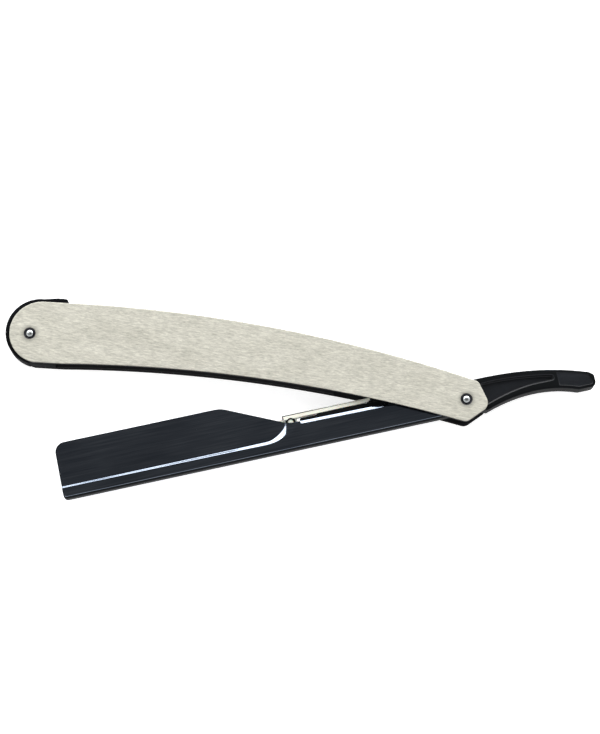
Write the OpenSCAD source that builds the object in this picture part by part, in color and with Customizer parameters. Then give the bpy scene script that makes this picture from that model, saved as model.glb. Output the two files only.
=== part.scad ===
// Straight razor with a replaceable half blade, lying open.
// Origin on the pivot axis at the rear scale's outer face, +X from the round end to the pivot
// end along the line of the two rivets, +Z up through the scales. Millimetres.

/* [Handle] */
// distance between the two rivets
rivet_gap = 131; // [110:1:150]
// thickness of one metal scale
scale_t = 1.0; // [0.6:0.1:1.6]
// free gap between the two scales
scale_gap = 5.2; // [4.6:0.1:7]
// radius of the scale's round end
end_r = 9.5; // [8:0.1:12]
// radius of the long curve along the back of the scale
back_r = 435; // [300:5:700]
// height of the back curve above the rivet line, at its crown
back_h = 13.3; // [11:0.1:16]
// radius of the long hollow curve along the open side
belly_r = 442; // [300:2:700]
// height of the hollow's crown, negative below the rivet line
belly_h = -3.1; // [-6:0.1:0]
// thickness of a plastic liner
liner_t = 0.5; // [0.3:0.1:0.6]
// radius round the pivot inside which the liners stop, so the tail can pass
liner_stop_r = 39.2; // [39:0.1:45]

/* [Rivets] */
// radius of a rivet shank
pin_r = 0.8; // [0.6:0.05:1.2]
// radius of a rivet's front dome
dome_r = 1.05; // [0.9:0.05:1.6]
// radius of the cup washer round a dome
cup_r = 1.75; // [1.5:0.05:2.4]

/* [Blade holder] */
// angle of the arm to the rivet line, as it lies open
rest_angle = 21.3; // [10:0.1:40]
// length of the arm from the pivot to the holder's tip
arm_len = 121.3; // [110:0.1:121.5]
// distance of the folded spine under the pivot
spine_v = 3.5; // [2.8:0.1:4.5]
// height of the leaves' straight edge above the pivot line
leaf_v = 13.35; // [12:0.05:14]
// height of the shank leaves above the pivot line, at the flare
shank_v = 4.55; // [3.8:0.05:5]
// distance from the pivot at which the flare starts
flare_u = 52.4; // [50:0.1:56]
// distance from the pivot at which the flare ends in the shoulder
shoulder_u = 71.4; // [66:0.1:76]
// thickness of the folded sheet
sheet_t = 0.6; // [0.4:0.05:0.8]
// outer thickness of the folded channel
channel_t = 3.8; // [3.4:0.1:4]
// gap between the leaves in the blade zone
leaf_gap = 1.5; // [1.0:0.1:1.6]
// height of the joggle line above the pivot line
joggle_v = -0.2; // [-0.5:0.05:1]
// radius of the joggle's upward curve
joggle_r = 9.5; // [8:0.5:20]
// distance from the pivot at which that curve starts
joggle_u = 60.5; // [58:0.5:64]

/* [Tang and tail] */
// thickness of the tail
tail_t = 4.8; // [4:0.1:5]
// reach of the tail from the pivot
tail_len = 38.9; // [34:0.1:39]
// height of the core's top edge above the pivot line
core_v = 5.8; // [5.2:0.1:6.4]
// distance from the pivot at which the core ends in the shank
core_u = 49.3; // [44:0.1:50]
// depth of the pocket in each face of the tail
pocket_d = 1.2; // [0.6:0.1:1.8]

/* [Insert and blade] */
// thickness of the insert's plate
insert_t = 0.9; // [0.8:0.05:1.1]
// height of the latch tongue's top edge
tongue_v = 7.2; // [6.8:0.1:7.6]
// distance from the pivot at which the tongue ends
tongue_u = 26.5; // [24:0.5:34]
// length of the half blade
blade_l = 43; // [42:0.5:44]
// width of the half blade
blade_w = 11.1; // [10.5:0.1:11.5]
// thickness of the blade
blade_t = 0.1; // [0.08:0.01:0.15]
// how far the cutting edge stands proud of the leaves
blade_out = 0.3; // [0.1:0.05:1]

/* [Hidden] */
total_t = 2 * scale_t + scale_gap;
mid_z = total_t / 2;
fit = 0.04;
edge_c = 0.3;
lap = 0.01;
wedge = [-rivet_gap, 0];
end_c = [3.3 - rivet_gap, 0.9];
back_c = [-77, back_h - back_r];
belly_c = [-56, belly_h - belly_r];
head_d = 0.6;
head_r = 1.5;
cup_d = 0.4;
rim_c = [end_c[0] - 0.75, end_c[1] + 0.45];
rim_r = end_r + 0.7;
spacer_stop_r = 122.5;
channel_z = mid_z - channel_t / 2;
fold_z = channel_t / 2;
spine_end = 1.8;
hole_c = [-51.9, 5.1];
core_t = channel_t - 2 * sheet_t;
bush_r = 1.6;
washer_r = 3.4;
shoulder_r = 4.9;
blade_x = -116.6;
blade_v = leaf_v + blade_out - blade_w;

steel = [0.80, 0.79, 0.75];
bright = [0.75, 0.76, 0.78];
dark_steel = [0.16, 0.17, 0.19];
black = [0.07, 0.07, 0.08];
ivory = [0.93, 0.93, 0.88];

// ---- outline functions ----

function unit(v) = v / norm(v);

// points along an arc of centre c, from angle a0 to a1
function arc(c, r, a0, a1, n) =
    [for (i = [0 : n]) c + r * [cos(a0 + (a1 - a0) * i / n), sin(a0 + (a1 - a0) * i / n)]];

// the corner b between a and c, rounded to radius r
function round_at(a, b, c, r, n = 6) =
    let (u = unit(a - b), w = unit(c - b), half = acos(u * w) / 2,
         m = b + unit(u + w) * r / sin(half),
         p = b + u * r / tan(half) - m,
         q = b + w * r / tan(half) - m,
         t = p[0] * q[1] - p[1] * q[0] > 0 ? 1 : -1,
         s = atan2(p[1], p[0]), sweep = t * (180 - 2 * half))
    arc(m, r, s, s + sweep, n);

// a closed outline of corners [x, y, radius], each rounded unless its radius is 0
function rounded(c) =
    let (n = len(c))
    [for (i = [0 : n - 1])
        let (a = c[(i + n - 1) % n], b = c[i], d = c[(i + 1) % n])
        each b[2] == 0 ? [[b[0], b[1]]]
            : round_at([a[0], a[1]], [b[0], b[1]], [d[0], d[1]], b[2])];

// height of the long curves over the rivet line at x
function on_circle(c, r, x) = c[1] + sqrt(r * r - (x - c[0]) * (x - c[0]));
function back_y(x) = on_circle(back_c, back_r, x);
function belly_y(x) = on_circle(belly_c, belly_r, x);

// a smooth curve through three points, for the tail
function bend(p, q, r, n) =
    [for (i = [0 : n]) let (t = i / n)
        p * (1 - t) * (1 - t) + q * 2 * t * (1 - t) + r * t * t];

// ---- shared shapes ----

module plate(z, t) {
    translate([0, 0, z]) linear_extrude(t) children();
}

module disc(c, r, z, t) {
    translate([c[0], c[1], z]) cylinder(r = r, h = t, $fn = 64);
}

// turns the arm's own drawing (tip towards -X, edge towards +Y) to its open angle
module arm() {
    rotate([0, 0, rest_angle]) children();
}

// outline of the handle, grown inwards by g
module handle_outline(g = 0) {
    tip = [1.0, -6.8 + g];
    nose = [7.2 - g, -0.8];
    top = [2.8 - g / 2, back_y(2.8) - g];
    polygon(concat(
        [for (i = [0 : 24]) let (x = -119 + (top[0] - 2 + 119) * i / 24) [x, back_y(x) - g]],
        round_at([-4, back_y(-4) - g], top, nose, 1.6),
        round_at(top, nose, tip, 2.9, 10),
        round_at(nose, tip, [-4, belly_y(-4) + g], 2.5),
        [for (i = [0 : 24]) let (x = -4 - 116 * i / 24) [x, belly_y(x) + g]],
        arc(end_c, end_r - g, 265, 94, 28)));
}

// a pin hole through both faces
module pin_holes(r, z, t) {
    for (c = [wedge, [0, 0]])
        translate([c[0], c[1], z]) cylinder(r = r, h = t, $fn = 48);
}

// ---- handle ----

module front_scale() {
    color(steel) difference() {
        union() {
            plate(total_t - scale_t, scale_t - edge_c) handle_outline();
            plate(total_t - edge_c - lap, edge_c + lap) handle_outline(0.25);
        }
        pin_holes(pin_r, total_t - scale_t - 1, scale_t + 2);
        pin_holes(cup_r, total_t - cup_d, 1);
    }
}

module rear_scale() {
    color(steel) difference() {
        union() {
            plate(edge_c, scale_t - edge_c) handle_outline();
            plate(0, edge_c + lap) handle_outline(0.25);
        }
        pin_holes(pin_r, -1, scale_t + 2);
        for (c = [wedge, [0, 0]])
            translate([c[0], c[1], 0]) cylinder(r1 = head_r, r2 = pin_r, h = head_d, $fn = 48);
    }
}

// a liner follows the scale and stops clear of the spacer and of the tail's sweep
module liner(z) {
    plate(z, liner_t) difference() {
        handle_outline(0.35);
        circle(r = liner_stop_r, $fn = 180);
        difference() {
            translate([-200, -50]) square([200, 100]);
            circle(r = spacer_stop_r - 0.1, $fn = 240);
        }
    }
}

module front_liner() {
    color(black) liner(total_t - scale_t - liner_t);
}

module rear_liner() {
    color(black) liner(scale_t);
}

// the spacer fills the round end and stands out round it as a rim
module wedge_spacer() {
    run_y = back_y(-119) + 1.1;
    color(black) difference() {
        plate(scale_t, scale_gap) difference() {
            union() {
                intersection() {
                    handle_outline(0.05);
                    translate([-150, -30]) square([40, 60]);
                }
                polygon(concat(
                    arc(rim_c, rim_r, 262, 92, 30),
                    rounded([[-125, run_y, 0], [-122.2, run_y + 0.2, 0.8], [-120.9, run_y - 1.4, 0.3],
                             [-121.6, 5, 0], [-125, -3, 0]])));
            }
            circle(r = spacer_stop_r, $fn = 240);
        }
        translate([wedge[0], wedge[1], 0]) cylinder(r = pin_r, h = total_t, $fn = 48);
    }
}

// a rivet: countersunk behind, domed in front
module rivet(c) {
    dome_h = 0.42;
    dome_z = total_t - cup_d + 0.3;
    ball_r = (dome_r * dome_r + dome_h * dome_h) / (2 * dome_h);
    translate([c[0], c[1], 0]) {
        cylinder(r1 = head_r, r2 = pin_r, h = head_d, $fn = 48);
        cylinder(r = pin_r, h = dome_z, $fn = 48);
        intersection() {
            translate([0, 0, dome_z + dome_h - ball_r]) sphere(r = ball_r, $fn = 96);
            translate([0, 0, dome_z]) cylinder(r = dome_r, h = dome_h + 1, $fn = 48);
        }
    }
}

module wedge_rivet() {
    color(bright) rivet(wedge);
}

module pivot_rivet() {
    color(bright) rivet([0, 0]);
}

// the cup washer sits in the scale's recess, its rim flush with the face
module cup_washer(c) {
    translate([c[0], c[1], total_t - cup_d]) difference() {
        cylinder(r = cup_r, h = cup_d, $fn = 64);
        translate([0, 0, -1]) cylinder(r = pin_r, h = 3, $fn = 48);
        translate([0, 0, 0.3]) cylinder(r1 = dome_r, r2 = cup_r - 0.2, h = cup_d - 0.29, $fn = 64);
    }
}

module wedge_cup_washer() {
    color(dark_steel) cup_washer(wedge);
}

module pivot_cup_washer() {
    color(dark_steel) cup_washer([0, 0]);
}

// ---- arm ----

module pivot_bushing() {
    color(bright) difference() {
        disc([0, 0], bush_r, channel_z, channel_t);
        disc([0, 0], pin_r + fit, 0, total_t);
    }
}

module thrust_washer(z, t) {
    difference() {
        disc([0, 0], washer_r, z, t);
        disc([0, 0], pin_r + fit, z - 1, t + 2);
    }
}

module front_thrust_washer() {
    z = channel_z + channel_t;
    color(ivory) thrust_washer(z, total_t - scale_t - z - fit);
}

module rear_thrust_washer() {
    color(ivory) thrust_washer(scale_t + fit, channel_z - scale_t - fit);
}

// outline of a leaf, from the tip to the rounded end at the pivot
module leaf_plan() {
    polygon(rounded([[-arm_len, -spine_v, 1.0], [-arm_len, leaf_v, 3.0],
                     [-shoulder_u, leaf_v, 1.8], [-flare_u, shank_v, 1.5],
                     [0, shank_v - 0.6, 0], [0, -spine_v + 0.1, 0], [-spine_end, -spine_v + 0.1, 0],
                     [-spine_end, -spine_v, 0]]));
    translate([0, 0.28]) circle(r = 3.68, $fn = 64);
}

// the side of the joggle line that is pressed in, its border moved up by g
module pressed_side(g) {
    translate([-130, joggle_v + g]) square([130 - joggle_u, 40]);
    translate([-joggle_u, joggle_v + joggle_r]) circle(r = joggle_r - g, $fn = 180);
}

// section across the joggle, v outwards from the bend line and z up from the middle plane
module joggle_section(low, high) {
    polygon([[-0.05, low], [0.75, low], [0.75, low + sheet_t], [0.6, low + sheet_t],
             [-0.1, high + sheet_t], [-0.75, high + sheet_t], [-0.75, high], [-0.3, high]]);
}

// the front leaf with its joggle, drawn up from the channel's middle plane
module front_leaf() {
    low = leaf_gap / 2;
    high = core_t / 2;
    plate(high, sheet_t) difference() {
        leaf_plan();
        pressed_side(-0.4);
        translate([-arm_len - 1, -spine_v - 1]) square([arm_len + 1 - spine_end, 1.95]);
    }
    plate(low, sheet_t) intersection() {
        leaf_plan();
        pressed_side(0.5);
    }
    intersection() {
        plate(0, fold_z) leaf_plan();
        union() {
            translate([-arm_len, joggle_v, 0]) rotate([90, 0, 90])
                linear_extrude(arm_len - joggle_u) joggle_section(low, high);
            translate([-joggle_u, joggle_v + joggle_r, 0]) rotate([0, 0, -90])
                rotate_extrude(angle = 66, $fn = 180) translate([joggle_r, 0]) mirror([1, 0])
                    joggle_section(low, high);
        }
    }
}

// the bevel ground along the front leaf's open edge, from the core's end to the handle
module edge_bevel() {
    drop = atan2(0.6, flare_u);
    translate([-core_u, shank_v - 0.04, fold_z]) rotate([0, 0, -drop]) rotate([90, 0, 90])
        linear_extrude(core_u - 8) polygon([[-0.75, 0], [0.1, -0.45], [0.5, 0.2], [-0.75, 0.2]]);
}

// the folded spine, a channel with rounded outer corners
module spine_fold() {
    translate([-arm_len, -spine_v, 0]) rotate([90, 0, 90]) linear_extrude(arm_len - spine_end)
        difference() {
            polygon(rounded([[0, -fold_z, 0.9], [0, fold_z, 0.9], [1.2, fold_z, 0],
                             [1.2, -fold_z, 0]]));
            polygon(rounded([[sheet_t, sheet_t - fold_z, 0.3], [sheet_t, fold_z - sheet_t, 0.3],
                             [2, fold_z - sheet_t, 0], [2, sheet_t - fold_z, 0]]));
        }
}

module blade_holder() {
    color(dark_steel) arm() difference() {
        translate([0, 0, mid_z]) {
            for (side = [0, 1]) mirror([0, 0, side]) difference() {
                front_leaf();
                edge_bevel();
            }
            intersection() {
                spine_fold();
                plate(-fold_z, channel_t) leaf_plan();
            }
        }
        disc([0, 0], bush_r, 0, total_t);
    }
}

// plan of the core inside the shank
module core_plan() {
    low = -spine_v + sheet_t + 0.35;
    polygon(rounded([[-core_u, low, 0.4], [-core_u, core_v - 0.3, 0.8], [-44.2, core_v - 0.3, 0],
                     [-43.6, core_v, 0], [4, core_v - 0.05, 0], [6.5, 0, 0], [4, -3.2, 0],
                     [0, low, 0]]));
}

// plan of the tail, shrunk by g
module tail_plan(g = 0) {
    polygon(concat(
        bend([2, core_v - 0.05 - g], [22, 6.4 - g], [tail_len - 1.1 - g, 0.5 - g / 2], 14),
        round_at([tail_len - 1.8, 1.0], [tail_len - g, -0.4 - g / 2], [tail_len - g, -2.6], 0.5),
        round_at([tail_len - g, -1.0], [tail_len - g, -4.0 + g], [33, -4.2 + g], 1.3),
        bend([33.5, -4.0 + g], [21, 0.9 + g], [5.4, -4.3 + g], 14),
        [[3.2, -3.6 + g]]));
}

// plan of the pocket, shrunk by g
module pocket_plan(g = 0) {
    polygon(concat(
        bend([5.6, 3.9 - g], [14, 4.3 - g], [24.8, 2.4 - g], 10),
        round_at([24.8, 2.4 - g], [26.9 - g, 1.9], [26.9 - g, 0.7], 0.5),
        round_at([26.9 - g, 1.9], [26.9 - g, 0.6], [24.2, 0.55 + g], 0.5),
        bend([24.2, 0.55 + g], [16, 1.0 + g], [5.6 + g, -2.6 + g], 10)));
}

module tang() {
    tail_z = mid_z - tail_t / 2;
    color(black) arm() difference() {
        union() {
            plate(mid_z - core_t / 2, core_t) core_plan();
            difference() {
                union() {
                    plate(tail_z + 0.45, tail_t - 0.9) tail_plan();
                    plate(tail_z, tail_t) tail_plan(0.4);
                }
                disc([0, 0], shoulder_r, 0, total_t);
            }
        }
        plate(tail_z - 1, 1 + pocket_d) pocket_plan();
        plate(tail_z + tail_t - pocket_d, 2) pocket_plan();
        disc([0, 0], bush_r, 0, total_t);
    }
}

// ---- insert and blade ----

// plan of the insert's thin plate and its neck
module carrier_plan() {
    polygon(concat(
        rounded([[-118.4, 0.8, 0.8], [-118.4, 9.6, 1.5], [-63.2, 9.3, 2],
                 [-56.2, 5.9, 0], [-54.1, 6.6, 0], [-54.1, tongue_v - 0.4, 0],
                 [-49.9, tongue_v - 0.4, 0], [-49.9, 4.0, 0.6],
                 [-55.2, 2.0, 3], [-61, 0.8, 2]])));
}

module blade_carrier() {
    z = mid_z - insert_t / 2;
    tongue_t = core_t - 0.3;
    core_gap = 0.15;
    tongue_slant = 3.2;
    color(ivory) arm() difference() {
        union() {
            plate(z, insert_t) carrier_plan();
            // latch tongue along the top of the core
            plate(mid_z - tongue_t / 2, tongue_t) polygon(rounded([
                [-54.1, core_v + 0.05, 0.2], [-54.1, tongue_v, 0.3], [-tongue_u, tongue_v, 0.2],
                [-tongue_u - tongue_slant, core_v + core_gap, 0.3], [-47, core_v + core_gap, 0]]));
            // boss round the finger hole
            disc(hole_c, 1.7, z, insert_t);
        }
        disc(hole_c, 1.15, 0, total_t);
        // seat for the blade, open towards the edge
        difference() {
            translate([blade_x - 0.15, blade_v - 0.1, mid_z + insert_t / 2 - 0.25])
                cube([blade_l + 0.3, 20, 1]);
            for (x = [blade_x + 12.5, blade_x + blade_l - 12.5])
                disc([x, blade_v + 0.2], 1.0, 0, total_t);
        }
    }
}

module half_blade() {
    z = mid_z + insert_t / 2 - 0.2;
    color(bright) arm() difference() {
        plate(z, blade_t) polygon([
            [blade_x, blade_v], [blade_x, blade_v + 7.4], [blade_x + 0.9, blade_v + 8.2],
            [blade_x + 0.9, blade_v + blade_w], [blade_x + blade_l - 0.9, blade_v + blade_w],
            [blade_x + blade_l - 0.9, blade_v + 8.2], [blade_x + blade_l, blade_v + 7.4],
            [blade_x + blade_l, blade_v]]);
        // half slots of the snapped side, open towards the spine
        for (x = [blade_x + 12.5, blade_x + blade_l - 12.5])
            disc([x, blade_v + 0.2], 1.3, 0, total_t);
        translate([blade_x + 15, blade_v - 1, 0]) cube([blade_l - 30, 1.9, total_t]);
    }
}

front_scale();
rear_scale();
front_liner();
rear_liner();
wedge_spacer();
wedge_rivet();
wedge_cup_washer();
pivot_rivet();
pivot_cup_washer();
pivot_bushing();
front_thrust_washer();
rear_thrust_washer();
blade_holder();
tang();
blade_carrier();
half_blade();
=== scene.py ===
import bmesh
import bpy
import math
import numpy as np
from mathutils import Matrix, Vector
from mathutils.geometry import delaunay_2d_cdt


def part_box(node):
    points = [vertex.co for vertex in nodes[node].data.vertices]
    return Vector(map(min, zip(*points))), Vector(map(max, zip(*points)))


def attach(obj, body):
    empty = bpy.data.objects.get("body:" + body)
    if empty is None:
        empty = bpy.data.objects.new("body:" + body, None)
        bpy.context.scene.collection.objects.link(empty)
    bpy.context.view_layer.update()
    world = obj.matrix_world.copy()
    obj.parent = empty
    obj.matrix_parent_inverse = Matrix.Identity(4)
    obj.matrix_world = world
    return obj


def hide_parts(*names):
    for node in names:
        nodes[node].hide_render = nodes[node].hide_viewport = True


# A straight razor lying open. Its own lengths are in millimetres, and MM turns them to metres.
# The camera, the floor and the lamps are placed in metres.
MM = 0.001
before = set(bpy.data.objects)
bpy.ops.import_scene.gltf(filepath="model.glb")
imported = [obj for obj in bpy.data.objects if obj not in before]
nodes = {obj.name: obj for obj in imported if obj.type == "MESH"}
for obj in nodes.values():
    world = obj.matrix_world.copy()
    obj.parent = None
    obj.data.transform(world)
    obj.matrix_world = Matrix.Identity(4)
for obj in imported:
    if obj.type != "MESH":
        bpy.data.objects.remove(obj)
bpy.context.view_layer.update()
scene = bpy.context.scene
scene.view_settings.view_transform = "Standard"

ARM_ANGLE = math.radians(21.3)
WEDGE = (-131.0, 0.0)
PIVOT = (0.0, 0.0)


# ---- materials ----

class Nodes:
    """A node material under construction, with short calls for the nodes used here."""

    def __init__(self, name, turn=0.0):
        self.material = bpy.data.materials.new(name)
        self.material.use_nodes = True
        self.tree = self.material.node_tree
        self.shader = self.tree.nodes["Principled BSDF"]
        self.coords = self.add("ShaderNodeTexCoord").outputs["Object"]
        self.turn = turn

    def add(self, kind, **values):
        node = self.tree.nodes.new(kind)
        for key, value in values.items():
            setattr(node, key, value)
        return node

    def link(self, a, b):
        self.tree.links.new(a, b)

    def noise(self, stretch, detail=3.0, rough=0.55, seed=0.0):
        """Noise with that many grains per metre along the piece, across it and up."""
        turn = self.add("ShaderNodeMapping")
        turn.inputs["Rotation"].default_value = (0, 0, -self.turn)
        turn.inputs["Location"].default_value = (seed, seed, seed)
        self.link(self.coords, turn.inputs["Vector"])
        scale = self.add("ShaderNodeMapping")
        scale.inputs["Scale"].default_value = stretch
        self.link(turn.outputs["Vector"], scale.inputs["Vector"])
        noise = self.add("ShaderNodeTexNoise")
        noise.inputs["Scale"].default_value = 1.0
        noise.inputs["Detail"].default_value = detail
        noise.inputs["Roughness"].default_value = rough
        self.link(scale.outputs["Vector"], noise.inputs["Vector"])
        return noise.outputs["Fac"]

    def ramp(self, fac, low, high, at=(0.3, 0.7)):
        """A colour between low and high as fac goes from at[0] to at[1]."""
        ramp = self.add("ShaderNodeValToRGB")
        for element, place, color in zip(ramp.color_ramp.elements, at, (low, high)):
            element.position = place
            element.color = (*color, 1)
        self.link(fac, ramp.inputs["Fac"])
        return ramp.outputs["Color"]

    def mix(self, a, b, fac, blend="MIX"):
        """Blends two colours. A number as fac is the same all over."""
        mix = self.add("ShaderNodeMix", data_type="RGBA", blend_type=blend)
        if isinstance(fac, float):
            mix.inputs["Factor"].default_value = fac
        else:
            self.link(fac, mix.inputs["Factor"])
        self.link(a, mix.inputs[6])
        self.link(b, mix.inputs[7])
        return mix.outputs[2]

    def spread(self, fac, low, high):
        """fac from 0.3 to 0.7 turned into a number from low to high."""
        spread = self.add("ShaderNodeMapRange")
        spread.inputs["From Min"].default_value = 0.3
        spread.inputs["From Max"].default_value = 0.7
        spread.inputs["To Min"].default_value = low
        spread.inputs["To Max"].default_value = high
        self.link(fac, spread.inputs["Value"])
        return spread.outputs["Result"]

    def near(self, centre, inner, outer):
        """1 within inner of an upright axis, falling to 0 at outer."""
        flat = self.add("ShaderNodeVectorMath", operation="MULTIPLY")
        flat.inputs[1].default_value = (1, 1, 0)
        self.link(self.coords, flat.inputs[0])
        away = self.add("ShaderNodeVectorMath", operation="DISTANCE")
        away.inputs[1].default_value = (centre[0] * MM, centre[1] * MM, 0)
        self.link(flat.outputs["Vector"], away.inputs[0])
        fall = self.add("ShaderNodeMapRange", interpolation_type="SMOOTHSTEP")
        fall.inputs["From Min"].default_value = inner * MM
        fall.inputs["From Max"].default_value = outer * MM
        fall.inputs["To Min"].default_value = 1.0
        fall.inputs["To Max"].default_value = 0.0
        self.link(away.outputs["Value"], fall.inputs["Value"])
        return fall.outputs["Result"]

    def bump(self, height, strength, depth):
        bump = self.add("ShaderNodeBump")
        bump.inputs["Strength"].default_value = strength
        bump.inputs["Distance"].default_value = depth * MM
        self.link(height, bump.inputs["Height"])
        self.link(bump.outputs["Normal"], self.shader.inputs["Normal"])

    def done(self, color, rough, metallic=0.0, **sockets):
        self.link(color, self.shader.inputs["Base Color"])
        self.link(rough, self.shader.inputs["Roughness"])
        self.shader.inputs["Metallic"].default_value = metallic
        for name, value in sockets.items():
            self.shader.inputs[name.replace("_", " ")].default_value = value
        return self.material


def scale_steel():
    """Pale brushed steel: fine lengthwise lines, cloudy patches, and painted shade in a ring round each
    rivet.
    """
    m = Nodes("scale_steel")
    lines = m.noise((600, 3400, 3400), 4.0, 0.75)
    clouds = m.noise((90, 160, 160), 4.0, 0.6, 0.3)
    color = m.ramp(lines, (0.375, 0.365, 0.32), (0.74, 0.725, 0.635), (0.3, 0.7))
    cloudy = m.ramp(clouds, (0.86, 0.86, 0.85), (1.0, 1.0, 1.0))
    color = m.mix(color, cloudy, 1.0, "MULTIPLY")
    # painted shade round each rivet, standing in for the shading of a shallow dip in the face
    for centre in (WEDGE, PIVOT):
        rivet_shade_ring = m.near(centre, 1.6, 3.2)
        shade = m.ramp(rivet_shade_ring, (1.0, 1.0, 1.0), (0.62, 0.62, 0.62), (0.0, 1.0))
        color = m.mix(color, shade, 1.0, "MULTIPLY")
    m.bump(lines, 0.3, 0.02)
    return m.done(color, m.spread(clouds, 0.66, 0.58), 0.3, Specular_IOR_Level=0.2)


def painted_shade_edge_steel():
    """The scales' cut edges and inner faces, painted near-black as the shade between and under the
    scales, slightly scratched along their length.
    """
    m = Nodes("painted_shade_edge_steel")
    lines = m.noise((200, 200, 5000), 3.0)
    color = m.ramp(lines, (0.004, 0.004, 0.005), (0.012, 0.012, 0.014))
    m.bump(lines, 0.2, 0.01)
    return m.done(color, m.spread(lines, 0.5, 0.6), 0.0, Specular_IOR_Level=0.15)


def holder_steel():
    """Dark polished sheet, with faint streaks along the arm and soft patches."""
    m = Nodes("holder_steel", ARM_ANGLE)
    streaks = m.noise((60, 2200, 2200), 3.0, 0.6)
    patches = m.noise((45, 90, 90), 2.0, 0.5, 0.7)
    color = m.ramp(streaks, (0.27, 0.32, 0.40), (0.42, 0.47, 0.55))
    cloudy = m.ramp(patches, (0.74, 0.75, 0.77), (1.0, 1.0, 1.0))
    color = m.mix(color, cloudy, 1.0, "MULTIPLY")
    m.bump(streaks, 0.1, 0.004)
    return m.done(color, m.spread(streaks, 0.1, 0.15), 1.0)


def shaded_spine_steel():
    """The outside of the fold, painted near-black as shade and as the dark reflection of the floor in
    front of it.
    """
    m = Nodes("shaded_spine_steel", ARM_ANGLE)
    streaks = m.noise((60, 2200, 2200), 3.0, 0.6)
    color = m.ramp(streaks, (0.003, 0.0035, 0.0045), (0.007, 0.008, 0.010))
    return m.done(color, m.spread(streaks, 0.45, 0.55), 0.0, Specular_IOR_Level=0.07)


def black_plastic(name, low, high, rough, specular):
    """Moulded plastic with a fine grain."""
    m = Nodes(name, ARM_ANGLE)
    grain = m.noise((2500, 2500, 2500), 2.0)
    flow = m.noise((60, 220, 220), 3.0, 0.5, 0.2)
    color = m.ramp(flow, low, high)
    m.bump(grain, 0.15, 0.02)
    return m.done(color, m.spread(grain, rough, rough + 0.1), 0.0, Specular_IOR_Level=specular)


def ivory_plastic():
    """Pale yellowish plastic that light enters a little."""
    m = Nodes("ivory_plastic", ARM_ANGLE)
    grain = m.noise((1800, 1800, 1800), 2.0)
    tone = m.noise((120, 200, 200), 2.0, 0.5, 0.4)
    color = m.ramp(tone, (0.80, 0.79, 0.68), (0.88, 0.875, 0.78))
    m.bump(grain, 0.1, 0.02)
    return m.done(color, m.spread(grain, 0.32, 0.42), 0.0, Subsurface_Weight=0.1,
                  Subsurface_Scale=0.001)


def bright_steel(name, tone, rough):
    """Turned or ground steel with very fine marks."""
    m = Nodes(name, ARM_ANGLE)
    marks = m.noise((2600, 2600, 2600), 3.0)
    color = m.ramp(marks, tuple(0.9 * c for c in tone), tone)
    m.bump(marks, 0.05, 0.01)
    return m.done(color, m.spread(marks, rough, rough + 0.08), 1.0)


def washer_nylon():
    """Pale nylon."""
    m = Nodes("washer_nylon")
    grain = m.noise((1500, 1500, 1500), 2.0)
    color = m.ramp(grain, (0.70, 0.69, 0.63), (0.78, 0.77, 0.71))
    return m.done(color, m.spread(grain, 0.45, 0.55), 0.0, Subsurface_Weight=0.15,
                  Subsurface_Scale=0.001)


LOOK = {
    "scale": scale_steel(),
    # painted shade: the near-black material for the scales' edges and inner faces
    "edge": painted_shade_edge_steel(),
    "holder": holder_steel(),
    "spine": shaded_spine_steel(),
    "liner": black_plastic("liner_plastic", (0.006, 0.006, 0.007), (0.012, 0.012, 0.014), 0.5, 0.3),
    "spacer": black_plastic("spacer_plastic", (0.002, 0.0025, 0.003), (0.005, 0.0055, 0.007),
                            0.65, 0.05),
    "tang": black_plastic("tang_plastic", (0.005, 0.006, 0.008), (0.012, 0.014, 0.0175), 0.28, 0.34),
    # a darker, duller copy of the tang's plastic, painted shade for its sides, rails and hidden core
    "tang_painted_shade": black_plastic("tang_painted_shade", (0.002, 0.0025, 0.003), (0.004, 0.005, 0.006), 0.5, 0.07),
    "ivory": ivory_plastic(),
    # painted shade: near-black plastic for the dark line along the tongue and the dark ring in its hole
    "painted_edge_shade": black_plastic("shade_plastic", (0.014, 0.013, 0.012), (0.03, 0.028, 0.025), 0.5, 0.15),
    "rivet": bright_steel("rivet_steel", (0.58, 0.61, 0.62), 0.25),
    # painted shade: the cup washers' near-black steel stands for the shade in the sunk ring round each
    # dome
    "cup": bright_steel("shaded_cup_steel", (0.045, 0.045, 0.05), 0.3),
    "bushing": bright_steel("bushing_steel", (0.62, 0.62, 0.60), 0.25),
    "blade": bright_steel("blade_steel", (0.60, 0.62, 0.64), 0.2),
    "nylon": washer_nylon(),
}


# ---- mesh helpers ----

def make(name, bm, body, slot, look, *replaced):
    """A finished piece from a bmesh: named, on its body, with its material, standing for CAD nodes."""
    bmesh.ops.remove_doubles(bm, verts=bm.verts, dist=1e-7)
    bmesh.ops.dissolve_degenerate(bm, edges=bm.edges, dist=1e-7)
    bmesh.ops.recalc_face_normals(bm, faces=bm.faces)
    mesh = bpy.data.meshes.new(name)
    bm.to_mesh(mesh)
    bm.free()
    piece = bpy.data.objects.new(name, mesh)
    scene.collection.objects.link(piece)
    mesh.materials.append(LOOK[look])
    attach(piece, body)
    if replaced:
        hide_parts(*replaced)
    return piece


def settle(piece):
    """Works the piece's modifiers into its mesh."""
    solid = piece.evaluated_get(bpy.context.evaluated_depsgraph_get())
    mesh = bpy.data.meshes.new_from_object(solid)
    piece.modifiers.clear()
    piece.data = mesh


def repaint(piece, look, test):
    """Gives the faces whose normal passes the test another material."""
    piece.data.materials.append(LOOK[look])
    for face in piece.data.polygons:
        if test(face.normal):
            face.material_index = 1


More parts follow.
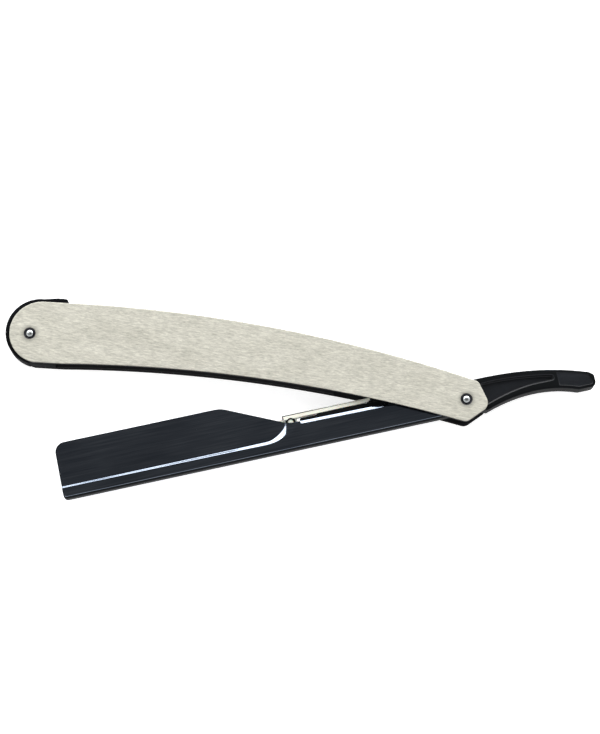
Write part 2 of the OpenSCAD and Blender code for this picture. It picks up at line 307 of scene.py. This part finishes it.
def cap_loops(node, z):
    """Borders of a CAD node's flat face at height z, the longest first, material on their left."""
    bm = bmesh.new()
    bm.from_mesh(nodes[node].data)
    bmesh.ops.remove_doubles(bm, verts=bm.verts, dist=1e-6)
    flat = {f for f in bm.faces if all(abs(v.co.z - z * MM) < 2e-6 for v in f.verts)}
    follow = {}
    for face in flat:
        for corner in face.loops:
            if not any(f in flat for f in corner.edge.link_faces if f is not face):
                ends = (corner.vert, corner.link_loop_next.vert)
                start, end = ends if face.normal.z > 0 else ends[::-1]
                follow[start] = end
    loops = []
    while follow:
        start, here = follow.popitem()
        loop = [start.co.xy / MM]
        while here is not start:
            loop.append(here.co.xy / MM)
            here = follow.pop(here)
        loops.append(loop)
    bm.free()
    return sorted(loops, key=len_of, reverse=True)


def len_of(loop):
    """Length round a closed border."""
    return sum((a - b).length for a, b in zip(loop, loop[1:] + loop[:1]))


def inset(loop, d):
    """The border moved by d to its left, into the material. Points that would cross are gathered."""
    moved = []
    for before, here, after in zip(loop[-1:] + loop[:-1], loop, loop[1:] + loop[:1]):
        a = (here - before).normalized()
        b = (after - here).normalized()
        left = Vector((-a.y - b.y, a.x + b.x)).normalized()
        moved.append(here + left * d / max(0.4, left.dot(Vector((-a.y, a.x)))))
    clear = [i for i, room in enumerate(distances(moved, loop)) if room > 0.97 * abs(d)]
    if d == 0 or len(clear) == len(loop):
        return moved
    n = len(loop)
    return [moved[min(clear, key=lambda k: min((k - i) % n, (i - k) % n))] for i in range(n)]


def distances(points, loop):
    """Distance of each point to a closed border."""
    p = np.array(points)[:, None]
    a = np.array(loop)
    side = np.roll(a, -1, axis=0) - a
    along = ((p - a) * side).sum(2) / (side ** 2).sum(1)
    foot = a + side * np.clip(along, 0, 1)[..., None]
    return np.linalg.norm(p - foot, axis=2).min(1)


def circle(centre, r, n=64, clockwise=False):
    """Points round a circle, the material on their left: inside it, or outside if clockwise."""
    turn = -1 if clockwise else 1
    return [Vector((centre[0] + r * math.cos(turn * 2 * math.pi * i / n),
                    centre[1] + r * math.sin(turn * 2 * math.pi * i / n))) for i in range(n)]


def wall(bm, loop, profile, look=0):
    """Rings of a border through (inset, height) pairs, joined by faces. Returns the two end borders."""
    rings = [[bm.verts.new((p.x * MM, p.y * MM, z * MM)) for p in inset(loop, d)] for d, z in profile]
    for low, high in zip(rings, rings[1:]):
        for i in range(len(loop)):
            j = (i + 1) % len(loop)
            face = bm.faces.new((low[i], low[j], high[j], high[i]))
            face.smooth = True
            face.material_index = look
    return [border(bm, rings[0]), border(bm, rings[-1])]


def border(bm, ring):
    """The sharp edges along a ring of verts."""
    edges = []
    for a, b in zip(ring, ring[1:] + ring[:1]):
        edge = bm.edges.get((a, b)) or bm.edges.new((a, b))
        edge.smooth = False
        edges.append(edge)
    return edges


def fill(bm, edges, look=0):
    """Flat triangles between closed borders that lie at one height, holes left open."""
    verts = list(dict.fromkeys(v for edge in edges for v in edge.verts))
    place = {v: i for i, v in enumerate(verts)}
    points = [v.co.xy / MM for v in verts]
    sides = [(place[e.verts[0]], place[e.verts[1]]) for e in edges]
    spots, _, triangles, origin, _, _ = delaunay_2d_cdt(points, sides, [], 0, 1e-5)
    height = verts[0].co.z
    corners = [verts[first[0]] if first else bm.verts.new((spot.x * MM, spot.y * MM, height))
               for spot, first in zip(spots, origin)]
    for triangle in triangles:
        middle = sum((spots[i] for i in triangle), Vector((0, 0))) / 3
        crossed = sum(crosses(middle, points[a], points[b]) for a, b in sides)
        if crossed % 2:
            bm.faces.new([corners[i] for i in triangle]).material_index = look


def crosses(p, a, b):
    """1 if the side from a to b passes right of p, at its height."""
    if (a.y > p.y) == (b.y > p.y):
        return 0
    return int(a.x + (b.x - a.x) * (p.y - a.y) / (b.y - a.y) > p.x)


def rounding(low, high, r, steps=5):
    """A profile from low to high whose two ends are rounded inwards."""
    turn = [math.pi / 2 * k / steps for k in range(steps + 1)]
    foot = [(r * (1 - math.sin(a)), low + r * (1 - math.cos(a))) for a in turn]
    return foot + [(d, low + high - z) for d, z in reversed(foot)]


def plate(loops, low, high, r, holes=()):
    """A bmesh plate between two heights with rounded edges. holes are (border, edge radius)."""
    bm = bmesh.new()
    walls = [wall(bm, loop, rounding(low, high, r)) for loop in loops]
    walls += [wall(bm, loop, rounding(low, high, edge)) for loop, edge in holes]
    fill(bm, [e for low_edges, _ in walls for e in low_edges])
    fill(bm, [e for _, high_edges in walls for e in high_edges])
    return bm


def lathe(centre, profile, n=64):
    """A closed turned shape: (radius, height) pairs from the top of the axis to its foot."""
    bm = bmesh.new()
    rings = []
    for r, z in profile:
        if r == 0:
            rings.append([bm.verts.new((centre[0] * MM, centre[1] * MM, z * MM))] * n)
        else:
            rings.append([bm.verts.new((p.x * MM, p.y * MM, z * MM)) for p in circle(centre, r, n)])
    for top, low in zip(rings, rings[1:]):
        for i in range(n):
            j = (i + 1) % n
            corners = dict.fromkeys((top[i], low[i], low[j], top[j]))
            face = bm.faces.new(tuple(corners))
            face.smooth = True
    return bm


def arm(u, v, z):
    """A point of the arm's own drawing, u from the pivot to the tip and v to the open edge."""
    c = math.cos(ARM_ANGLE)
    s = math.sin(ARM_ANGLE)
    return Vector((-u * c - v * s, -u * s + v * c, z)) * MM


# ---- handle ----

SCALE_T = 1.0
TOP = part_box("front_scale")[1][2] / MM
CUP_R = 1.75


def scales():
    """The two metal scales, their cut edges and inner faces painted dark as shade."""
    outline = cap_loops("front_scale", TOP - SCALE_T)[0]
    cups = [(circle(c, CUP_R, 64, True), 0.18) for c in (WEDGE, PIVOT)]
    front = make("front_scale_plate", plate([outline], TOP - SCALE_T, TOP, 0.28, cups),
                 "handle", "scale_steel", "scale", "front_scale")
    # painted shade: the front scale's edges and inner face get the near-black edge material
    repaint(front, "edge", lambda normal: normal.z < 0.6)
    pins = [(circle(c, 1.5, 64, True), 0.03) for c in (WEDGE, PIVOT)]
    rear = make("rear_scale_plate", plate([outline], 0, SCALE_T, 0.28, pins),
                "handle", "scale_steel", "scale", "rear_scale")
    # painted shade: the rear scale's edges and its inner face in the gap get the near-black edge
    # material
    repaint(rear, "edge", lambda normal: normal.z > -0.6)


def spacer():
    """The black block in the round end, whose rim stands out round the scales."""
    outline = cap_loops("wedge_spacer", SCALE_T)[0]
    make("spacer_block", plate([outline], SCALE_T, TOP - SCALE_T, 0.6), "handle",
         "spacer_plastic", "spacer", "wedge_spacer")


def rivets():
    """Domed rivets, flush behind, each in a cup washer sunk into the front scale, the washer's
    near-black colour painted shade of that sunk ring.
    """
    for name, centre in (("wedge", WEDGE), ("pivot", PIVOT)):
        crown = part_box(name + "_rivet")[1][2] / MM
        dome = [(1.05 * math.sin(a), crown - 0.42 * (1 - math.cos(a)))
                for a in (math.pi / 2 * k / 10 for k in range(11))]
        shank = [(1.0, crown - 0.47), (0.8, crown - 0.5), (0.8, 0.62), (1.47, 0.03), (1.4, 0), (0, 0)]
        make(name + "_rivet_turned", lathe(centre, dome + shank), "handle", "rivet_steel",
             "rivet", name + "_rivet")
        cup = [(0.8, 6.86), (1.12, 6.86), (1.3, 6.95), (1.5, 7.1), (1.6, 7.17), (1.68, 7.19),
               (1.73, 7.15), (1.74, 7.05), (1.74, 6.8), (0.8, 6.8), (0.8, 6.86)]
        make(name + "_cup_turned", lathe(centre, cup), "handle", "cup_washer_steel", "cup",
             name + "_cup_washer")


# ---- blade holder: a folded sheet with a joggle pressed along it ----

# u runs from the pivot to the tip, v from the pivot line to the open edge
ARM_LEN = 121.3
SPINE_V = -3.5
LEAF_V = 13.35
SHANK_V = 4.55
FLARE_U = 52.4
SHOULDER_U = 71.4
SHEET_T = 0.6
CHANNEL_Z = (1.7, 5.5)
PRESS = 0.55
PRESS_FADE = 0.45
JOGGLE_V = -0.2
RAMP_MIDDLE = 0.25
RAMP_ROUND = 0.1
JOGGLE_U = 60.5
JOGGLE_R = 9.5
FOLD_R = 0.9
CORE_U = 49.3
TIP_R = 3.0
BEVEL = 0.95
BEVEL_SLOPE = 0.34
TAB_R = 3.68
TAB_V = 0.28
TAB_START = 2.0


def ease(t):
    """0 up to t = 0, 1 from t = 1, smooth between."""
    t = min(1.0, max(0.0, t))
    return t * t * (3 - 2 * t)


def leaf_edge(u):
    """Height of the leaf's open edge at u, with its rounded corners."""
    if u > ARM_LEN - TIP_R:
        return LEAF_V - TIP_R + math.sqrt(max(0.0, TIP_R ** 2 - (u - ARM_LEN + TIP_R) ** 2))
    if u < 0:
        return TAB_V + math.sqrt(max(0.01, TAB_R ** 2 - u ** 2))
    shank = SHANK_V - 0.6 * (1 - min(u, FLARE_U) / FLARE_U)
    slope = (LEAF_V - SHANK_V) / (SHOULDER_U - FLARE_U)
    # two corners rounded by blending the straight stretches over a short way
    low = SHANK_V + slope * (u - FLARE_U)
    soft = 0.25
    rise = shank + soft * math.log1p(math.exp((low - shank) / soft)) if low - shank < 8 else low
    return LEAF_V - soft * math.log1p(math.exp((LEAF_V - rise) / soft)) if LEAF_V - rise < 8 else rise


def spine_edge(u):
    """Place of the spine's outer face, rounded in at the tip."""
    reach = max(0.0, u - ARM_LEN + 1.0)
    return SPINE_V + 1.0 - math.sqrt(max(0.0, 1.0 - reach ** 2))


def outward(u):
    """Share of the way from the start of the straight joggle to the tip."""
    return max(0.0, u - JOGGLE_U) / (ARM_LEN - JOGGLE_U)


def pressed(u, v):
    """How far the leaf is pressed in, from 0 to 1, across the joggle line and its upward curve."""
    if u >= JOGGLE_U:
        s = v - JOGGLE_V
    else:
        s = JOGGLE_R - math.hypot(u - JOGGLE_U, v - JOGGLE_V - JOGGLE_R)
    width = 0.95 - 0.15 * ease((u - JOGGLE_U) / 12) - 0.4 * outward(u)
    width += 0.95 * ease((59.5 - u) / 4.5) + 3.0 * ease((54.2 - u) / 1.4)
    t = min(1.0, max(0.0, (s - RAMP_MIDDLE) / width + 0.5))
    # a straight ramp with short rounded ends
    k = RAMP_ROUND
    if t < k:
        return t * t / (2 * k * (1 - k))
    if t > 1 - k:
        return 1 - (1 - t) ** 2 / (2 * k * (1 - k))
    return (t - k / 2) / (1 - k)


def leaf_z(u, v):
    """Height of the front leaf's outer face at that place."""
    z = CHANNEL_Z[1] - PRESS * (1 - PRESS_FADE * outward(u)) * pressed(u, v)
    # the ground bevel runs from the core's end to the handle
    along = ease((CORE_U - u) / 0.5) * ease((u - 8) / 1.0)
    into = v - (leaf_edge(u) - BEVEL)
    return z - max(0.0, into) * BEVEL_SLOPE * along


def stations():
    """Distances from the pivot at which the sheet is drawn, closest where its shape turns."""
    us = [ARM_LEN - TIP_R + TIP_R * math.sin(math.pi / 2 * k / 12) for k in range(12, 0, -1)]
    us += [ARM_LEN - TIP_R - 1.5 * k for k in range(30)]
    u = us[-1]
    while u > 64:
        u -= 0.75
        us.append(u)
    while u > 48:
        u -= 0.2
        us.append(u)
    while u > 7:
        u -= 1.0
        us.append(u)
    while u > TAB_START:
        u -= 0.5
        us.append(u)
    return us


def leaf_rows(u):
    """Heights of the rows of a leaf from the fold to the open edge."""
    low = spine_edge(u) + FOLD_R
    edge = leaf_edge(u)
    fixed = [low + (-0.7 - low) * k / 5 for k in range(6)]
    fixed += [-0.7 + 0.08 * k for k in range(1, 20)]
    top = edge - BEVEL
    free = [fixed[-1] + (top - fixed[-1]) * k / 22 for k in range(1, 23)]
    return fixed + free + [edge - BEVEL * 0.6, edge - BEVEL * 0.3, edge]


def holder():
    """The folded sheet: one section drawn at every station, thickened inwards."""
    bm = bmesh.new()
    mid = sum(CHANNEL_Z) / 2
    grid = []
    for u in stations():
        leaf = [(v, leaf_z(u, v)) for v in leaf_rows(u)]
        s = spine_edge(u)
        fold = [(s + FOLD_R * (1 - math.cos(a)), CHANNEL_Z[1] - FOLD_R * (1 - math.sin(a)))
                for a in (math.pi / 2 * k / 8 for k in range(8))]
        front = list(reversed(leaf)) + list(reversed(fold))
        section = front + [(v, 2 * mid - z) for v, z in reversed(front)]
        grid.append([bm.verts.new(arm(u, v, z)) for v, z in section])
    for a, b in zip(grid, grid[1:]):
        for i in range(len(a) - 1):
            face = bm.faces.new((a[i], a[i + 1], b[i + 1], b[i]))
            face.smooth = True
    # the two round tabs past the fold, at the pivot
    per_leaf = len(leaf_rows(10))
    last = grid[-1]
    for side, z in ((last[:per_leaf], CHANNEL_Z[1]), (last[-per_leaf:][::-1], CHANNEL_Z[0])):
        before = side
        for k in range(1, 13):
            a = math.pi / 2 * k / 12
            u = TAB_START - (TAB_START + TAB_R) * math.sin(a)
            half = math.sqrt(max(0.02, TAB_R ** 2 - u ** 2)) if u < 0 else TAB_R
            top = TAB_V + half if u < 0 else leaf_edge(u)
            foot = TAB_V - half if u < 0 else -2.6 - 0.8 * (TAB_START - u) / TAB_START
            n = len(side)
            row = [bm.verts.new(arm(u, top + (foot - top) * i / (n - 1), z)) for i in range(n)]
            for i in range(n - 1):
                bm.faces.new((before[i], before[i + 1], row[i + 1], row[i])).smooth = True
            before = row
    bmesh.ops.recalc_face_normals(bm, faces=bm.faces)
    if sum(f.normal.y * f.calc_area() for f in bm.faces if abs(f.normal.z) < 0.2) > 0:
        bmesh.ops.reverse_faces(bm, faces=bm.faces)
    piece = make("holder_sheet", bm, "blade_arm", "holder_steel", "holder", "blade_holder")
    # painted shade: the fold's faces that turn towards the front get the near-black spine material
    repaint(piece, "spine", lambda normal: abs(normal.z) < 0.93 and normal.dot(arm(0, -1, 0)) > 0)
    thick = piece.modifiers.new("sheet", "SOLIDIFY")
    thick.thickness = SHEET_T * MM
    thick.offset = -1
    settle(piece)
    piece.data.set_sharp_from_angle(angle=math.radians(50))
    edges = piece.modifiers.new("edges", "BEVEL")
    edges.limit_method = "ANGLE"
    edges.angle_limit = math.radians(60)
    edges.width = 0.07 * MM
    edges.segments = 2
    settle(piece)


# ---- tang ----

PADDLE_START = 27.5


def recess(bm, loop, face_z, down, depth, rim_r, foot_r):
    """A hollow in a face: its rim rounded over, its foot filleted. Returns the rim's border."""
    quarter = [math.pi / 2 * k / 5 for k in range(6)]
    rim = [(rim_r * (1 - math.sin(a)), rim_r * (1 - math.cos(a))) for a in quarter]
    foot = [(-foot_r * (1 - math.cos(a)), depth - foot_r * (1 - math.sin(a))) for a in quarter]
    ends = wall(bm, loop, [(d, face_z + down * z) for d, z in rim + foot])
    fill(bm, ends[1])
    return ends[0]


def tang():
    """The tail with its pocket and thumb rest, and the core hidden in the shank, with painted shade on
    the sides, rails and core.
    """
    low, high = (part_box("tang")[i][2] / MM for i in (0, 1))
    face, pocket = cap_loops("tang", high)
    outline = inset(face, -0.34)
    along = arm(-1, 0, 0).xy.normalized()
    paddle = [Vector(p) for p in dict.fromkeys(tuple(q) for q in inset(outline, 0.85))]
    paddle = [p for p in paddle if p.dot(along) > PADDLE_START][::-1]
    bm = bmesh.new()
    # index 1, the darker copy of the plastic added below, is painted shade on the outer walls and flat
    # rails; the hollows' floors and rims keep the lighter plastic
    ends = wall(bm, outline, rounding(low, high, 0.4, 7), 1)
    for edges, face_z, down in ((ends[0], low, 1), (ends[1], high, -1)):
        rims = recess(bm, pocket, face_z, down, 1.1, 0.28, 0.35)
        rims += recess(bm, paddle, face_z, down, 0.14, 0.07, 0.07)
        fill(bm, edges + rims, 1)
    piece = make("tang_tail", bm, "blade_arm", "tang_plastic", "tang", "tang")
    piece.data.materials.append(LOOK["tang_painted_shade"])
    core_high = CHANNEL_Z[1] - SHEET_T
    core = cap_loops("tang", core_high)[0]
    block = plate([core], CHANNEL_Z[0] + SHEET_T, core_high, 0.2)
    # the core takes the darker copy as painted shade for the gap between the leaves where it lies
    make("tang_core", block, "blade_arm", "tang_plastic", "tang_painted_shade")


# ---- insert and blade ----

def softened(name, node, width, body, slot, look):
    """A copy of a CAD node's solid with its edges rounded."""
    bm = bmesh.new()
    bm.from_mesh(nodes[node].data)
    bmesh.ops.remove_doubles(bm, verts=bm.verts, dist=1e-6)
    bmesh.ops.dissolve_limit(bm, angle_limit=math.radians(1), verts=bm.verts, edges=bm.edges)
    for face in bm.faces:
        face.smooth = True
    piece = make(name, bm, body, slot, look, node)
    bevel = piece.modifiers.new("edges", "BEVEL")
    bevel.limit_method = "ANGLE"
    bevel.angle_limit = math.radians(40)
    bevel.width = width * MM
    bevel.segments = 3
    bevel.harden_normals = True
    piece.data.set_sharp_from_angle(angle=math.radians(40))
    return piece


INSERT_Z = (3.15, 4.05)
HOLE = (51.9, 5.1)
TONGUE_V = 7.2
TONGUE_END = 26.5
NECK_U = 54.1


def insert():
    """The ivory insert with its latch tongue, painted shade along the tongue's edge and in its hole
    round a pin, and the half blade.
    """
    softened("insert_plate", "blade_carrier", 0.1, "insert", "insert_plastic", "ivory")
    low, high = (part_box("blade_carrier")[i][2] / MM for i in (0, 1))
    foot, face = INSERT_Z
    # a dark strip round the tongue's open side, painted shade along its edge
    line = 0.27
    inner = TONGUE_V - line
    corners = [(NECK_U, 6.0), (NECK_U - line, 6.0), (NECK_U - line, inner), (TONGUE_END + 0.9, inner),
               (TONGUE_END + 0.3, TONGUE_V + 0.02), (NECK_U, TONGUE_V + 0.02)]
    strip = [arm(u, v, 0).xy / MM for u, v in corners]
    make("tongue_edge_shade", plate([strip], low + 0.1, high + 0.02, 0.04), "insert",
         "insert_plastic", "painted_edge_shade")
    # a dark ring in the hole, painted shade of the hole's wall, round an ivory pin
    centre = arm(*HOLE, 0).xy / MM
    hole_shade_ring = [(0.86, face + 0.02), (0.92, face + 0.14), (1.15, face + 0.2), (1.38, face + 0.15),
              (1.5, face + 0.02), (1.5, face - 0.08), (1.13, face - 0.08), (1.13, foot + 0.05),
              (0.86, foot + 0.05), (0.86, face + 0.02)]
    make("hole_shade_ring", lathe(centre, hole_shade_ring), "insert", "insert_plastic", "painted_edge_shade")
    pin = [(0, face + 0.16), (0.45, face + 0.14), (0.75, face + 0.06), (0.85, face - 0.04),
           (0.85, foot + 0.05), (0.8, foot), (0, foot)]
    make("eyelet_pin", lathe(centre, pin), "insert", "insert_plastic", "ivory")
    softened("blade_half", "half_blade", 0.02, "blade", "blade_steel", "blade")


scales()
spacer()
rivets()
holder()
tang()
insert()

KEPT = {"front_liner": "liner", "rear_liner": "liner", "pivot_bushing": "bushing",
        "front_thrust_washer": "nylon", "rear_thrust_washer": "nylon"}
for name, look in KEPT.items():
    nodes[name].data.materials.clear()
    nodes[name].data.materials.append(LOOK[look])


# ---- camera, floor and light ----

cam = bpy.data.cameras.new("camera")
cam.lens = 85
cam.sensor_width = 36
cam.clip_end = 10
camera = bpy.data.objects.new("camera", cam)
scene.collection.objects.link(camera)
camera.location = (-0.02951, -0.12895, 0.50228)
camera.rotation_euler = (math.radians(15), 0, math.radians(8.87))
scene.camera = camera

floor_bm = bmesh.new()
bmesh.ops.create_grid(floor_bm, x_segments=1, y_segments=1, size=30)
floor_mesh = bpy.data.meshes.new("floor")
floor_bm.to_mesh(floor_mesh)
floor = bpy.data.objects.new("floor", floor_mesh)
scene.collection.objects.link(floor)
paper = Nodes("floor_paper")
fibre = paper.noise((900, 900, 900), 2.0)
floor_mesh.materials.append(paper.done(
    paper.ramp(fibre, (0.90, 0.90, 0.90), (0.92, 0.92, 0.92)), paper.spread(fibre, 0.8, 0.9), 0.0,
    Specular_IOR_Level=0.1, Emission_Color=(1, 1, 1, 1), Emission_Strength=0.65))


def soft_box(name, place, target, size, power):
    """A rectangular lamp at a place, turned to a target, unseen by the camera."""
    light = bpy.data.lights.new(name, "AREA")
    light.shape = "RECTANGLE"
    light.size, light.size_y = size
    light.energy = power
    box = bpy.data.objects.new(name, light)
    box.location = place
    box.rotation_euler = (Vector(target) - Vector(place)).to_track_quat("-Z", "Y").to_euler()
    box.visible_camera = False
    scene.collection.objects.link(box)


soft_box("back_light", (-0.1, 1.17, 0.57), (-0.05, 0, 0.0), (2.3, 1.27), 36)
soft_box("left_light", (-0.81, 0.585, 0.91), (-0.05, 0, 0.0), (0.5, 0.5), 2.6)

world = bpy.data.worlds.new("world")
world.use_nodes = True
tree = world.node_tree
background = tree.nodes["Background"]
background.inputs["Color"].default_value = (1, 1, 1, 1)
direction = tree.nodes.new("ShaderNodeTexCoord").outputs["Generated"]
dot = tree.nodes.new("ShaderNodeVectorMath")
dot.operation = "DOT_PRODUCT"
dot.inputs[1].default_value = Vector((-0.04, 0.256, 0.966)).normalized()
tree.links.new(direction, dot.inputs[0])
patch = tree.nodes.new("ShaderNodeMapRange")
patch.interpolation_type = "SMOOTHSTEP"
patch.inputs["From Min"].default_value = math.cos(math.radians(44))
patch.inputs["From Max"].default_value = math.cos(math.radians(26))
patch.inputs["To Min"].default_value = 0.9
patch.inputs["To Max"].default_value = 0.07
tree.links.new(dot.outputs["Value"], patch.inputs["Value"])
tree.links.new(patch.outputs["Result"], background.inputs["Strength"])
scene.world = world
